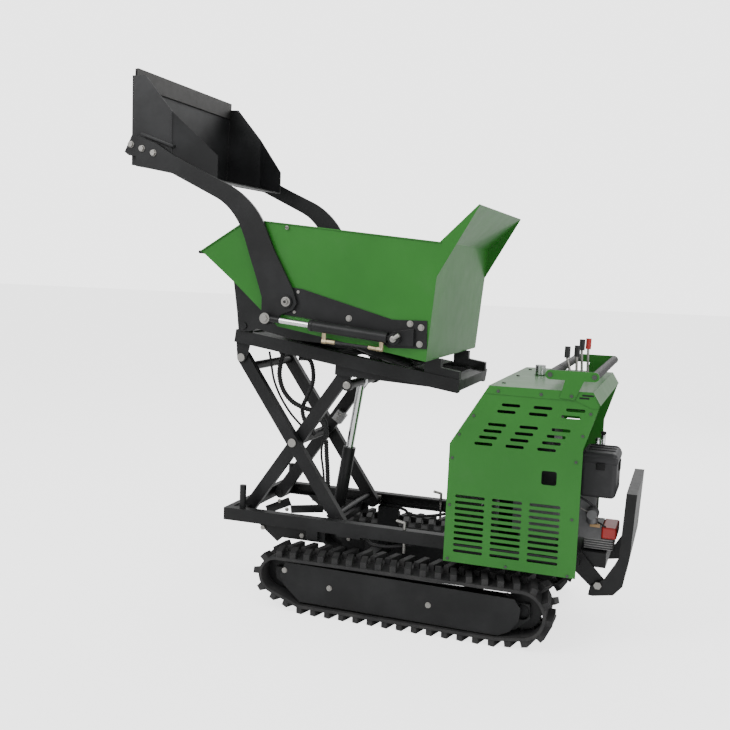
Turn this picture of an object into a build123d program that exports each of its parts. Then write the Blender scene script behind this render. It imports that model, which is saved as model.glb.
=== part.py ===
"""Tracked power barrow with a scissor lift, a tipping skip and a self-loading shovel.

X runs forward, Y to the machine's left and Z up, in millimetres, with the ground at Z = 0.
The layout is dimensioned from the first ground lug of the track; CENTRE_SHIFT moves it
to the middle of the machine's length when a piece is exported.
"""
import math
import os

from build123d import *

CENTRE_SHIFT = 212.0

# clearances
RUN_FIT = 0.1           # radial, a pin in its bore
SIDE_GAP = 2.0          # between plates that slide past each other
SLIDE_GAP = 1.0         # a block above and below in its channel

# undercarriage
BELT_IN, BELT_OUT = 235.0, 415.0
BELT_THICK = 12.0
LUG_HEIGHT = 24.0
LUG_PITCH = 60.0
IDLER = (108.0, 143.0)
IDLER_R = 64.0          # inside of the belt at the idler
SPROCKET = (-872.0, 133.0)
SPROCKET_R = 83.0
ROLLER_R = 32.0
ROLLER_Z = LUG_HEIGHT + BELT_THICK + ROLLER_R
ROLLERS = (0.0, -390.0, -778.0)
WHEEL_Y = (300.0, 350.0)
WHEEL_GAP = 0.5

# lower frame
RAIL_IN, RAIL_OUT = 252.0, 292.0
RAIL_Z = 332.0          # middle of the rail and of its channel
RAIL_H = 52.0
RAIL_WALL = 6.0
RAIL_FRONT, RAIL_BACK = 413.0, -1060.0

# scissor
B0 = (357.0, RAIL_Z)
CROSS = (137.0, 648.0)
LOWER_LEG = math.dist(B0, CROSS)
OUTER_UPPER = 417.0
INNER_UPPER = 388.0
ARM_HALF = 26.0
INNER_Y = (150.0, 180.0)
OUTER_Y = (190.0, 222.0)
PIN_R = 12.0
LEG_X = (B0[0] - CROSS[0]) / LOWER_LEG
LEG_Z = (CROSS[1] - B0[1]) / LOWER_LEG
A0 = (CROSS[0] - LOWER_LEG * LEG_X, CROSS[1] - LOWER_LEG * LEG_Z)
A1 = (CROSS[0] + OUTER_UPPER * LEG_X, CROSS[1] + OUTER_UPPER * LEG_Z)
B1 = (CROSS[0] - INNER_UPPER * LEG_X, CROSS[1] + INNER_UPPER * LEG_Z)
LIFT_BASE = (8.0, 323.0)
LIFT_TOP = (-80.0, 900.0)

# upper frame, in its own axes from the front pivot A1
TILT = 8.56
UPPER_RAIL_Y = (210.0, 250.0)
UPPER_RAIL_V = (61.0, 114.0)
UPPER_RAIL_U = (-938.0, 36.0)
TRACK_SLOPE = math.degrees(math.atan2(A1[1] - B1[1], A1[0] - B1[0]))
TIP_LOCAL = (-3.0, 137.0)
TIP_BASE = (-700.0, 85.0)
TIP_TOP = (-300.0, 152.0)

# skip and loader
SHEET = 4.0
SKIP_HALF = 408.0
BRACKET_Y = (SKIP_HALF, SKIP_HALF + 6.0)
ARM_Y = (417.0, 429.0)
EYE_Y = (431.0, 455.0)
LOADER_PIVOT = (86.0, 1239.0)
LOADER_ROD = (165.0, 1172.0)
LOADER_BASE = (-362.0, 1121.0)
SHOVEL_HALF = 404.0

# hood
HOOD_HALF = 397.0
HOOD_SHEET = 3.0
FLOOR_Z = 364.0

os.makedirs("parts", exist_ok=True)


def xz_plane(y):
    """Local x is X and local y is Z; an extrusion runs towards -Y."""
    return Plane(origin=(0, y, 0), x_dir=(1, 0, 0), z_dir=(0, -1, 0))


def prism(points, y0, y1):
    """A plate with this outline in X and Z, between two values of Y."""
    outline = make_face(Polyline(*points, close=True))
    return extrude(xz_plane(y1) * outline, amount=y1 - y0)


def pair(shape):
    """The shape and its mirror image on the other side."""
    return [shape, mirror(shape, about=Plane.XZ)]


def box(x0, x1, y0, y1, z0, z1):
    centre = Pos((x0 + x1) / 2, (y0 + y1) / 2, (z0 + z1) / 2)
    return centre * Box(abs(x1 - x0), abs(y1 - y0), abs(z1 - z0))


def bar_y(point, y0, y1, radius):
    """A round bar across the machine, centred on a point in X and Z."""
    plane = Plane(origin=(point[0], y1, point[1]), x_dir=(1, 0, 0), z_dir=(0, -1, 0))
    return extrude(plane * Circle(radius), amount=y1 - y0)


def bar_z(x, y, z0, z1, radius):
    return extrude(Plane(origin=(x, y, z0)) * Circle(radius), amount=z1 - z0)


def bar(start, end, radius):
    """A round bar between two points in space."""
    start, end = Vector(*start), Vector(*end)
    return extrude(Plane(origin=start, z_dir=end - start) * Circle(radius),
                   amount=(end - start).length)


def along(start, end, distance, y=0.0):
    """The point this far from start towards end, both in X and Z."""
    share = distance / math.dist(start, end)
    return (start[0] + (end[0] - start[0]) * share, y, start[1] + (end[1] - start[1]) * share)


def bent(points, thickness):
    """Closed outline of a sheet that follows a line, thickened to the line's left."""
    offset = []
    for i, point in enumerate(points):
        normals = []
        for a, b in ((i - 1, i), (i, i + 1)):
            if a < 0 or b >= len(points):
                continue
            dx, dz = points[b][0] - points[a][0], points[b][1] - points[a][1]
            length = math.hypot(dx, dz)
            normals.append((-dz / length, dx / length))
        nx = sum(n[0] for n in normals) / len(normals)
        nz = sum(n[1] for n in normals) / len(normals)
        scale = thickness / (nx * nx + nz * nz)
        offset.append((point[0] + nx * scale, point[1] + nz * scale))
    return list(points) + offset[::-1]


def slot_bar(start, end, half, y0, y1):
    """A flat bar with rounded ends between two points in X and Z."""
    dx, dz = end[0] - start[0], end[1] - start[1]
    length = math.hypot(dx, dz)
    nx, nz = -dz / length * half, dx / length * half
    body = prism([(start[0] + nx, start[1] + nz), (start[0] - nx, start[1] - nz),
                  (end[0] - nx, end[1] - nz), (end[0] + nx, end[1] + nz)], y0, y1)
    return body + bar_y(start, y0, y1, half) + bar_y(end, y0, y1, half)


def hexagon(point, y0, y1, across):
    """A bolt head lying along Y."""
    plane = Plane(origin=(point[0], y1, point[1]), x_dir=(1, 0, 0), z_dir=(0, -1, 0))
    return extrude(plane * RegularPolygon(across / 2, 6, major_radius=False), amount=y1 - y0)


def save(name, *shapes):
    solids = []
    for shape in shapes:
        members = shape if isinstance(shape, (list, tuple)) else [shape]
        for member in members:
            solids += [Pos(CENTRE_SHIFT, 0, 0) * solid for solid in member.solids()]
    export_step(solids[0] if len(solids) == 1 else Compound(solids), f"parts/{name}.step")


# ---- track belts: a ring round four wheels, with two staggered rows of slanted lugs
WHEELS = [(IDLER, IDLER_R), (SPROCKET, SPROCKET_R),
          ((ROLLERS[2], ROLLER_Z), ROLLER_R), ((ROLLERS[0], ROLLER_Z), ROLLER_R)]


def hull_runs(grow):
    """Straight runs of a belt round the wheels, anticlockwise, as tangent points."""
    runs = []
    for i, (start, r0) in enumerate(WHEELS):
        end, r1 = WHEELS[(i + 1) % len(WHEELS)]
        gap = math.dist(start, end)
        dx, dz = (end[0] - start[0]) / gap, (end[1] - start[1]) / gap
        lean = (r0 - r1) / gap
        side = math.sqrt(1 - lean * lean)
        nx, nz = dx * lean + dz * side, dz * lean - dx * side
        runs.append(((start[0] + nx * (r0 + grow), start[1] + nz * (r0 + grow)),
                     (end[0] + nx * (r1 + grow), end[1] + nz * (r1 + grow)), (nx, nz)))
    return runs


def hull_face(grow):
    runs = hull_runs(grow)
    edges = []
    for i, (start, end, normal) in enumerate(runs):
        edges.append(Line(start, end))
        following = runs[(i + 1) % len(runs)]
        centre, radius = WHEELS[(i + 1) % len(WHEELS)]
        mx, mz = normal[0] + following[2][0], normal[1] + following[2][1]
        if mx * normal[1] - mz * normal[0] > 0 and math.hypot(mx, mz) < 1.2:
            mx, mz = -mx, -mz
        size = math.hypot(mx, mz)
        middle = (centre[0] + mx / size * (radius + grow), centre[1] + mz / size * (radius + grow))
        edges.append(ThreePointArc(end, middle, following[0]))
    return make_face(edges)


def hull_stations(pitch, first):
    """Points and outward directions at an even pitch along the belt's outer face."""
    runs = hull_runs(BELT_THICK)
    pieces = []
    for i, (start, end, normal) in enumerate(runs):
        pieces.append(("line", math.dist(start, end), start, end, normal))
        following = runs[(i + 1) % len(runs)]
        centre, radius = WHEELS[(i + 1) % len(WHEELS)]
        a0 = math.atan2(normal[1], normal[0])
        turn = (math.atan2(following[2][1], following[2][0]) - a0) % (2 * math.pi)
        pieces.append(("arc", turn * (radius + BELT_THICK), centre, radius + BELT_THICK, a0))
    total = sum(piece[1] for piece in pieces)
    count = round(total / pitch)
    stations = []
    for k in range(count):
        s = (first + k * total / count) % total
        for kind, length, p, q, extra in pieces:
            if s > length:
                s -= length
                continue
            if kind == "line":
                share = s / length
                stations.append(((p[0] + (q[0] - p[0]) * share, p[1] + (q[1] - p[1]) * share), extra))
            else:
                angle = extra + s / q
                normal = (math.cos(angle), math.sin(angle))
                stations.append(((p[0] + q * normal[0], p[1] + q * normal[1]), normal))
            break
    return stations


def lug(point, normal, y, skew):
    plane = Plane(origin=(point[0] - 3 * normal[0], y, point[1] - 3 * normal[1]),
                  x_dir=(normal[1], 0, -normal[0]), z_dir=(normal[0], 0, normal[1]))
    return plane * Rot(0, 0, skew) * Pos(0, 0, (LUG_HEIGHT + 3) / 2) * Box(24, 86, LUG_HEIGHT + 3)


ring = extrude(xz_plane(BELT_OUT) * hull_face(BELT_THICK), amount=BELT_OUT - BELT_IN)
ring -= extrude(xz_plane(BELT_OUT + 1) * hull_face(0), amount=BELT_OUT - BELT_IN + 2)
lugs = [lug(p, n, 369.0, 14) for p, n in hull_stations(LUG_PITCH, 0.0)]
lugs += [lug(p, n, 281.0, -14) for p, n in hull_stations(LUG_PITCH, LUG_PITCH / 2)]
belt = ring.solid().fuse(*[piece.solid() for piece in lugs])
save("track_belt_left", belt)
save("track_belt_right", mirror(belt, about=Plane.XZ))

# ---- track frames: two plates each side with the wheel axles, joined across the machine
plate = [(126, 118), (126, 166), (-900, 166), (-905, 112), (-850, 62), (-800, 50), (20, 50)]
axles = [(IDLER, 20.0)] + [((x, ROLLER_Z), 14.0) for x in ROLLERS]
side = prism(plate, 280, 292) + prism(plate, 358, 370)
for centre, radius in axles:
    side += bar_y(centre, 280, 370, radius)
for x in (-210, -600):
    side += box(x - 40, x + 40, 285, 365, 90, 150)
    side += bar_y((x, 120), 365, 398, 16)
side += bar_y((0, 120), 365, 398, 16)
side -= bar_y(SPROCKET, 270, 380, 30)
tubes = [box(x - 25, x + 25, -280, 280, 110, 160) for x in (-150, -650)]
save("track_frames", pair(side), tubes)

# ---- wheels
for sign, side_name in ((1, "left"), (-1, "right")):
    y0, y1 = (WHEEL_Y[0], WHEEL_Y[1]) if sign > 0 else (-WHEEL_Y[1], -WHEEL_Y[0])
    for number, x in enumerate(ROLLERS):
        roller = bar_y((x, ROLLER_Z), y0, y1, ROLLER_R - WHEEL_GAP)
        save(f"roller_{side_name}_{number + 1}", roller - bar_y((x, ROLLER_Z), y0, y1, 14 + RUN_FIT))
    idler = bar_y(IDLER, y0, y1, IDLER_R - WHEEL_GAP) - bar_y(IDLER, y0, y1, 20 + RUN_FIT)
    save(f"idler_{side_name}", idler)
    wheel = bar_y(SPROCKET, y0, y1, 70)
    for k in range(12):
        tooth = prism([(60, -9), (SPROCKET_R - 1.5, -5), (SPROCKET_R - 1.5, 5), (60, 9)], y0 + 8, y1 - 8)
        wheel += Pos(SPROCKET[0], 0, SPROCKET[1]) * Rot(0, 30 * k, 0) * tooth
    save(f"sprocket_{side_name}", wheel - bar_y(SPROCKET, y0 - 1, y1 + 1, 22 + RUN_FIT))

motor = bar_y(SPROCKET, 170, 280, 46) + bar_y(SPROCKET, 280, 352, 22)
save("drive_motors", pair(motor))

cover = prism([(74, 200), (95, 144), (76, 105), (8, 46), (-792, 41), (-836, 64), (-867, 107),
               (-872, 153), (-848, 188)], 398, 402)
save("track_covers", pair(cover))

# ---- lower frame
z0, z1 = RAIL_Z - RAIL_H / 2, RAIL_Z + RAIL_H / 2
rail = box(RAIL_BACK, RAIL_FRONT, RAIL_IN, RAIL_OUT, z0, z1)
rail -= box(RAIL_BACK - 1, RAIL_FRONT - 25, RAIL_IN - 1, RAIL_OUT - RAIL_WALL,
            z0 + RAIL_WALL, z1 - RAIL_WALL)
rail += box(340, 400, 184, 288, z0 + RAIL_WALL, z1 - RAIL_WALL)
rail += bar_y(B0, INNER_Y[0] - 4, 190, PIN_R)
rail += box(-16, 32, 0, RAIL_OUT, 270, 295)
rail += box(-16, 32, RAIL_IN, RAIL_OUT, 290, z0 + 2)
rail += prism([(266, z0 + 2), (172, 236), (150, 256), (-40, 256), (-40, z0 + 2)], 262, 270)
rail += bar_z(345, 250, z1 - 2, 452, 14)
for x in (-150, -650):
    rail += box(x - 50, x + 50, 224, 232, 160, z0)
    rail += box(x - 50, x + 50, 224, RAIL_OUT, z0 - 8, z0)
rail += prism([(-1020, 350), (-1058, 350), (-1148, 256), (-1148, 224), (-1108, 216), (-1012, 300)],
              228, 236)
rail -= bar_z(-380, 276, z0 - 5, z1 + 5, 6.3)
lower = rail + mirror(rail, about=Plane.XZ)
lower += box(RAIL_FRONT - 25, RAIL_FRONT, -RAIL_OUT, RAIL_OUT, z0, z1)
lower += box(-560, -530, -RAIL_IN - 2, RAIL_IN + 2, z0, z1)
lower += box(-1060, -1020, -RAIL_IN - 2, RAIL_IN + 2, z0, z1)
lower += box(-1058, -578, -(HOOD_HALF - HOOD_SHEET), HOOD_HALF - HOOD_SHEET, z1 - 2, FLOOR_Z)
for y in (-24, 16):
    lower += prism([(-14, 290), (-9, 330), (8, 342), (25, 330), (30, 290)], y, y + 8)
lower += box(-1150, -1058, -226, 226, 296, 352)
lower += bar_y(LIFT_BASE, -26, 26, 10)
save("lower_frame", lower)

pin = bar_z(-380, 276, 263, 386, 6) + bar((-380, 276, 384), (-345, 276, 390), 6)
save("lock_pin_left", pin)
save("lock_pin_right", mirror(pin, about=Plane.XZ))

# ---- scissor: the inner arms hinge on the lower frame, the outer ones carry the upper frame
arm = slot_bar(B0, B1, ARM_HALF, *INNER_Y) + bar_y(LIFT_TOP, *INNER_Y, 24)
arm += bar_y(LIFT_TOP, 16, INNER_Y[0] + 2, 18)
arm -= bar_y(B0, INNER_Y[0] - 1, INNER_Y[1] + 1, PIN_R + RUN_FIT)
arm += bar_y(B1, INNER_Y[1] - 2, 205, PIN_R)
inner = arm + mirror(arm, about=Plane.XZ)
inner += bar_y(CROSS, -INNER_Y[0] - 2, INNER_Y[0] + 2, 20)
inner += bar_y(CROSS, -OUTER_Y[1] - 6, OUTER_Y[1] + 6, 14)
for y in (OUTER_Y[1] + 0.5, -OUTER_Y[1] - 7):
    inner += bar_y(CROSS, y, y + 6.5, 18)
save("scissor_inner", inner)

arm = slot_bar(A0, A1, ARM_HALF, *OUTER_Y)
arm -= bar_y(CROSS, OUTER_Y[0] - 1, OUTER_Y[1] + 1, 14 + RUN_FIT)
arm -= bar_y(A1, OUTER_Y[0] - 1, OUTER_Y[1] + 1, 14 + RUN_FIT)
arm += bar_y(A0, OUTER_Y[1] - 2, 262, PIN_R)
tie = along(A1, CROSS, 47)
outer = arm + mirror(arm, about=Plane.XZ) + bar_y((tie[0], tie[2]), -OUTER_Y[0] - 2, OUTER_Y[0] + 2, 18)
foot_tie = along(A0, CROSS, 35)
outer += bar_y((foot_tie[0], foot_tie[2]), -OUTER_Y[0] - 2, OUTER_Y[0] + 2, 12)
save("scissor_outer", outer)

half = RAIL_H / 2 - RAIL_WALL - SLIDE_GAP
block = box(A0[0] - 25, A0[0] + 25, 228, 262, A0[1] - half, A0[1] + half)
save("slide_blocks_lower", pair(block - bar_y(A0, 227, 263, PIN_R + RUN_FIT)))

UPPER = Location((A1[0], 0, A1[1]), (0, -TILT, 0))
TRACK = Location((A1[0], 0, A1[1]), (0, -TRACK_SLOPE, 0))
reach = math.dist(A1, B1)
block = TRACK * box(-reach - 24, -reach + 24, 184, 204, -14, 14)
save("slide_blocks_upper", pair(block - bar_y(B1, 183, 206, PIN_R + RUN_FIT)))

# ---- lift cylinder: the rod's eye sits between the lugs on the inner arms
eye = bar_y(LIFT_BASE, -14, 14, 24)
barrel = bar(along(LIFT_BASE, LIFT_TOP, 32), along(LIFT_BASE, LIFT_TOP, 290), 27.5)
barrel = barrel + eye + bar(along(LIFT_BASE, LIFT_TOP, 8), along(LIFT_BASE, LIFT_TOP, 34), 13) - bar(along(LIFT_BASE, LIFT_TOP, 38), along(LIFT_BASE, LIFT_TOP, 300), 16 + RUN_FIT)
save("lift_barrel", barrel - bar_y(LIFT_BASE, -30, 30, 10 + RUN_FIT))
rod = bar(along(LIFT_TOP, LIFT_BASE, 305), along(LIFT_TOP, LIFT_BASE, 10), 16)
save("lift_rod", rod + bar_y(LIFT_TOP, -14, 14, 24))

# ---- upper frame
u0, u1 = UPPER_RAIL_U
v0, v1 = UPPER_RAIL_V
rail = box(u0, u1, *UPPER_RAIL_Y, v0, v1)
rail += prism([(36, v0 + 2), (-28, v0 + 2), (-22, -4), (-12, -19), (4, -21), (18, -12)], 224, 232)
rail += bar_y((0, 0), 186, 233, 14) + bar_y((0, 0), 231, 239, 17)
rail += box(-25, 20, 215, 245, v1 - 2, 150)
rail += bar_y(TIP_LOCAL, 230, 268, 14)
upper = UPPER * rail
channel = box(-reach - 400, -reach + 45, 182, 212, -25, 25)
channel -= box(-reach - 401, -reach + 46, 180, 206, -19.5, 19.5)
upper += TRACK * channel
upper = upper + mirror(upper, about=Plane.XZ)
cross = box(0, 30, -212, 212, 68, 110) + box(-200, -170, -212, 212, 68, 110)
cross += box(-390, -360, -212, 212, 68, 100) + box(u0, u0 + 58, -212, 212, 68, 110)
cross += box(-790, -740, -212, 212, 110, 120)
for y in (-24, 16):
    cross += prism([(-790, 112), (-718, 68), (-684, 68), (-684, 104), (-740, 119), (-790, 119)], y, y + 8)
cross += box(-172, 2, -212, 212, 98, 104) + box(-362, -198, -140, 140, 70, 76)
cross += bar_y(TIP_BASE, -26, 26, 10)
save("upper_frame", upper + UPPER * cross)

# ---- skip: one folded sheet for the floor and ends, with side walls, rims and corner wings
LIP = (477.0, 1425.0)
profile = [LIP, (452, 1408), (325, 1306), (195, 1193), (132, 1141), (-475, 1040), (-515, 1482)]
wall = prism(profile + [(195, 1548), (301, 1534)], SKIP_HALF - SHEET, SKIP_HALF)
wall += prism([(-503, 1354), (-653, 1617), (-513, 1482)], SKIP_HALF - SHEET, SKIP_HALF)
rim = bent([LIP, (301, 1534), (195, 1548), (-515, 1482)], SHEET)
wall += prism(rim, SKIP_HALF - 14, SKIP_HALF + 5)
floor = bent((profile + [(-653, 1617)])[::-1], SHEET)
skip = prism(floor, -SKIP_HALF, SKIP_HALF) + wall + mirror(wall, about=Plane.XZ)
tip_point = UPPER * Pos(TIP_LOCAL[0], 0, TIP_LOCAL[1])
TIP = (tip_point.position.X, tip_point.position.Z)
gusset = prism([(TIP[0] - 26, TIP[1] - 22), (TIP[0] + 25, TIP[1] - 22), (TIP[0] + 33, TIP[1] + 55),
                (398, 1270), (414, 1375), (325, 1304), (195, 1191), (132, 1139), (-240, 1077),
                (-250, 1058), (120, 1080), (TIP[0] - 60, TIP[1] - 10)], 252, 262)
gusset -= bar_y(TIP, 250, 264, 14 + RUN_FIT)
skip += gusset + mirror(gusset, about=Plane.XZ)
rod_pin = UPPER * Pos(TIP_TOP[0], 0, TIP_TOP[1])
TIP_PIN = (rod_pin.position.X, rod_pin.position.Z)
for y in (-26, 16):
    skip += prism([(TIP_PIN[0] - 24, TIP_PIN[1] + 33), (TIP_PIN[0] - 14, TIP_PIN[1] - 16),
                   (TIP_PIN[0] + 14, TIP_PIN[1] - 16), (TIP_PIN[0] + 24, TIP_PIN[1] + 39)], y, y + 10)
save("skip", skip)

base_pin = UPPER * Pos(TIP_BASE[0], 0, TIP_BASE[1])
TIP_FOOT = (base_pin.position.X, base_pin.position.Z)
barrel = bar(along(TIP_FOOT, TIP_PIN, 32), along(TIP_FOOT, TIP_PIN, 330), 24) + bar_y(TIP_FOOT, -14, 14, 22)
barrel += bar(along(TIP_FOOT, TIP_PIN, 8), along(TIP_FOOT, TIP_PIN, 34), 13)
barrel -= bar(along(TIP_FOOT, TIP_PIN, 36), along(TIP_FOOT, TIP_PIN, 340), 12 + RUN_FIT)
save("tip_barrel", barrel - bar_y(TIP_FOOT, -30, 30, 10 + RUN_FIT))
rod = bar(along(TIP_PIN, TIP_FOOT, 350), along(TIP_PIN, TIP_FOOT, 10), 12)
save("tip_rod", rod + bar_y(TIP_PIN, -14, 14, 18))


def frame_top(x):
    return A1[1] + (x - A1[0]) * math.tan(math.radians(TILT)) + v1 / math.cos(math.radians(TILT))


def skip_floor(x):
    return 1040 + (x + 475) * (1141 - 1040) / (132 + 475)


pads = prism([(-425, frame_top(-425)), (-565, frame_top(-565)), (-565, frame_top(-565) + 30),
              (-490, frame_top(-490) + 30), (-490, skip_floor(-475) - 1),
              (-475, skip_floor(-475) - 1), (-425, skip_floor(-425) - 1)], 214, 246)
save("rest_pads", pair(pads))

# ---- loader brackets on the skip: pivot stub, cylinder foot and their plates
side = prism([(130, 1300), (30, 1290), (-340, 1190), (-475, 1192), (-478, 1088), (-330, 1084),
              (-240, 1140), (20, 1180), (130, 1190)], *BRACKET_Y)
side += bar_y(LOADER_PIVOT, BRACKET_Y[1] - 2, 431, 15) + bar_y(LOADER_PIVOT, 431, 437, 24)
side += prism([(-345, 1096), (-345, 1146), (-430, 1160), (-430, 1096)], BRACKET_Y[1] - 2, 429)
side += bar_y(LOADER_BASE, 427, 462, 10)
save("loader_brackets", pair(side))

seats = [((-454, 1166), 8, 7), ((-450, 1104), 8, 7), ((-411, 1178), 8, 7), ((-168, 1186), 8, 7),
         ((44, 1278), 6, 2), ((58, 1200), 6, 2)]
save("bracket_bolts", *[pair(hexagon(c, BRACKET_Y[1], BRACKET_Y[1] + high, 2 * r)) for c, r, high in seats])

# ---- loader arms and shovel
rear_edge = Spline((60, 1282), (117, 1385), (156, 1458), (202, 1558), (268, 1634), (349, 1686))
front_edge = Spline((400, 1634), (334, 1584), (292, 1524), (250, 1415), (221, 1336), (192, 1250))
tip = Polyline((349, 1686), (465, 1738), (596, 1800), (676, 1848), (787, 1888), (824, 1816), (804, 1802),
               (772, 1800), (769, 1758), (608, 1732), (489, 1676), (400, 1634))
heel = Polyline((192, 1250), (193, 1172), (184, 1152), (165, 1144), (145, 1151), (108, 1188), (62, 1206),
                (44, 1232), (60, 1282))
profile = make_face([rear_edge, *tip.edges(), front_edge, *heel.edges()])
arm = extrude(xz_plane(ARM_Y[1]) * profile, amount=ARM_Y[1] - ARM_Y[0])
arm -= bar_y(LOADER_PIVOT, 410, 435, 15 + RUN_FIT)
ARM_BOLTS = [(793, 1845), (742, 1828), (688, 1810)]
for centre in ARM_BOLTS:
    arm -= bar_y(centre, 410, 435, 8 + RUN_FIT)
save("loader_arms", pair(arm))
bolts = [bar_y(c, SHOVEL_HALF, ARM_Y[0], 13) + bar_y(c, ARM_Y[0] - 1, ARM_Y[1] + 2, 8)
         + hexagon(c, ARM_Y[1], ARM_Y[1] + 9, 20) for c in ARM_BOLTS]
save("loader_bolts", *[pair(bolt) for bolt in bolts])

wall = prism([(806, 1766), (806, 2124), (745, 2122), (620, 1977), (620, 1740)],
             SHOVEL_HALF - SHEET, SHOVEL_HALF)
fold = Plane(origin=(620, SHOVEL_HALF, 0), x_dir=(-155, -100, 0), z_dir=(-100, 155, 0))
fold_face = make_face(Polyline((0, 1741), (0, 1977), (184.5, 1813), (184.5, 1717), close=True))
wall += extrude(fold * fold_face, amount=-SHEET)
shovel = prism([(806, 1766), (793, 2150), (789, 2150), (802, 1766)], -SHOVEL_HALF, SHOVEL_HALF)
lean = math.atan2(1769 - 1720, 785 - 465)
back = Plane(origin=(806, 0, 1770), x_dir=(-math.cos(lean), 0, -math.sin(lean)),
             z_dir=(-math.sin(lean), 0, math.cos(lean)))
span = (806 - 465) / math.cos(lean)
bend = (806 - 620) / math.cos(lean)
half = SHOVEL_HALF
back_face = make_face(Polyline((0, half), (bend, half), (span, 304), (span, -304), (bend, -half),
                               (0, -half), close=True))
shovel += extrude(back * back_face, amount=-SHEET)
save("shovel", shovel + wall + mirror(wall, about=Plane.XZ))


def shovel_floor(z):
    return 802 - (z - 1766) * 13 / 384


edge = [(shovel_floor(2078), 2078), (shovel_floor(2152), 2152), (shovel_floor(2152) - 8, 2152),
        (shovel_floor(2078) - 8, 2078)]
save("cutting_edge", prism(edge, -SHOVEL_HALF + SHEET, SHOVEL_HALF - SHEET))

middle = (EYE_Y[0] + EYE_Y[1]) / 2
barrel = bar(along(LOADER_BASE, LOADER_ROD, 28, middle), along(LOADER_BASE, LOADER_ROD, 332, middle), 21)
barrel += bar(along(LOADER_BASE, LOADER_ROD, 6, middle), along(LOADER_BASE, LOADER_ROD, 30, middle), 11)
barrel += bar_y(LOADER_BASE, *EYE_Y, 22)
barrel -= bar(along(LOADER_BASE, LOADER_ROD, 30, middle), along(LOADER_BASE, LOADER_ROD, 340, middle),
              11 + RUN_FIT)
save("loader_barrels", pair(barrel - bar_y(LOADER_BASE, 420, 470, 10 + RUN_FIT)))
rod = bar(along(LOADER_ROD, LOADER_BASE, 340, middle), along(LOADER_ROD, LOADER_BASE, 10, middle), 11)
rod += bar(along(LOADER_ROD, LOADER_BASE, 60, middle), along(LOADER_ROD, LOADER_BASE, 8, middle), 12)
rod += bar_y(LOADER_ROD, *EYE_Y, 18) + bar_y(LOADER_ROD, EYE_Y[1] - 1, EYE_Y[1] + 3, 21)
rod += hexagon(LOADER_ROD, EYE_Y[1] + 2, EYE_Y[1] + 9, 24)
save("loader_rods", pair(rod))

# ---- hood
sheet = HOOD_SHEET
outline = [(-571, 295), (-577, 743), (-713, 966), (-1084, 968), (-1111, 924), (-1062, 765), (-1060, 294)]
vents = [Pos(-798 + 15.7 * row - 115 * column, 902 - 25 * row) * SlotOverall(67, 11)
         for row in (0, 1, 3, 4, 5, 6) for column in range(3)]
vents += [Pos(-663 - 138 * column, 547 - 23.1 * row) * SlotOverall(111, 11)
          for row in range(10) for column in range(3)]
vents.append(Pos(-948, 650) * RectangleRounded(54, 51, 8))
panel = make_face(Polyline(*outline, close=True)) - vents
wall = extrude(xz_plane(HOOD_HALF) * panel, amount=sheet)
save("hood_side_left", wall)
save("hood_side_right", mirror(wall, about=Plane.XZ))
front = prism(bent([(-571, 295), (-577, 743), (-712, 963)], sheet), -HOOD_HALF + sheet, HOOD_HALF - sheet)
for y in (-298, 220):
    front -= box(-600, -550, y, y + 78, 280, 366)
save("hood_front", front)
# lever: side position, grip, foot and height of the grip's top
LEVERS = [(120, -953, -985, 1108), (40, -980, -984, 1108), (-40, -989, -996, 1128),
          (-120, -1005, -1009, 1128)]
TANK = (-822.0, -95.0)
top = prism(bent([(-713, 966), (-1084, 968), (-1111, 924)], -sheet), -HOOD_HALF - sheet, HOOD_HALF + sheet)
flange = prism([(-698, 940), (-714, 967), (-1084, 969), (-1108, 925), (-1104, 914), (-1084, 914),
                (-1030, 936)],
               HOOD_HALF, HOOD_HALF + sheet)
top += flange + mirror(flange, about=Plane.XZ)
for y, _, foot, _ in LEVERS:
    top -= box(foot - 26, foot + 26, y - 9, y + 9, 955, 980)
top -= bar_z(*TANK, 950, 990, 24)
save("hood_top", top)

plates = slot_bar((-933, 1025), (-1087, 1025), 17, HOOD_HALF + sheet, HOOD_HALF + sheet + 5)
plates += prism([(-989, 1020), (-971, 944), (-1022, 940), (-1058, 1020)],
                HOOD_HALF + sheet, HOOD_HALF + sheet + 5)
save("grab_bar_plates", pair(plates))
reach_y = HOOD_HALF + sheet
save("grab_bars", bar_y((-933, 1025), -reach_y, reach_y, 16), bar_y((-1087, 1025), -reach_y, reach_y, 16))

# ---- controls
valve = box(-1040, -935, -150, 150, 870, 925) + box(-1044, -1036, -150, 150, 870, 965)
for number, (y, grip_x, foot, height) in enumerate(LEVERS):
    for side_y in (y - 12, y + 7):
        valve += box(foot - 10, foot + 10, side_y, side_y + 5, 920, 952)
    valve += bar_y((foot, 941), y - 12, y + 12, 4)
    hub = bar_y((foot, 941), y - 5.5, y + 5.5, 10)
    stick = hub + bar((foot, y, 945), (grip_x, y, height - 43), 5) - bar_y((foot, 941), y - 6, y + 6, 4 + RUN_FIT)
    grip = bar((grip_x, y, height - 43), (grip_x - 1, y, height), 11)
    save(f"lever_{number + 1}", stick, grip)
save("control_valve", valve)

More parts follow.
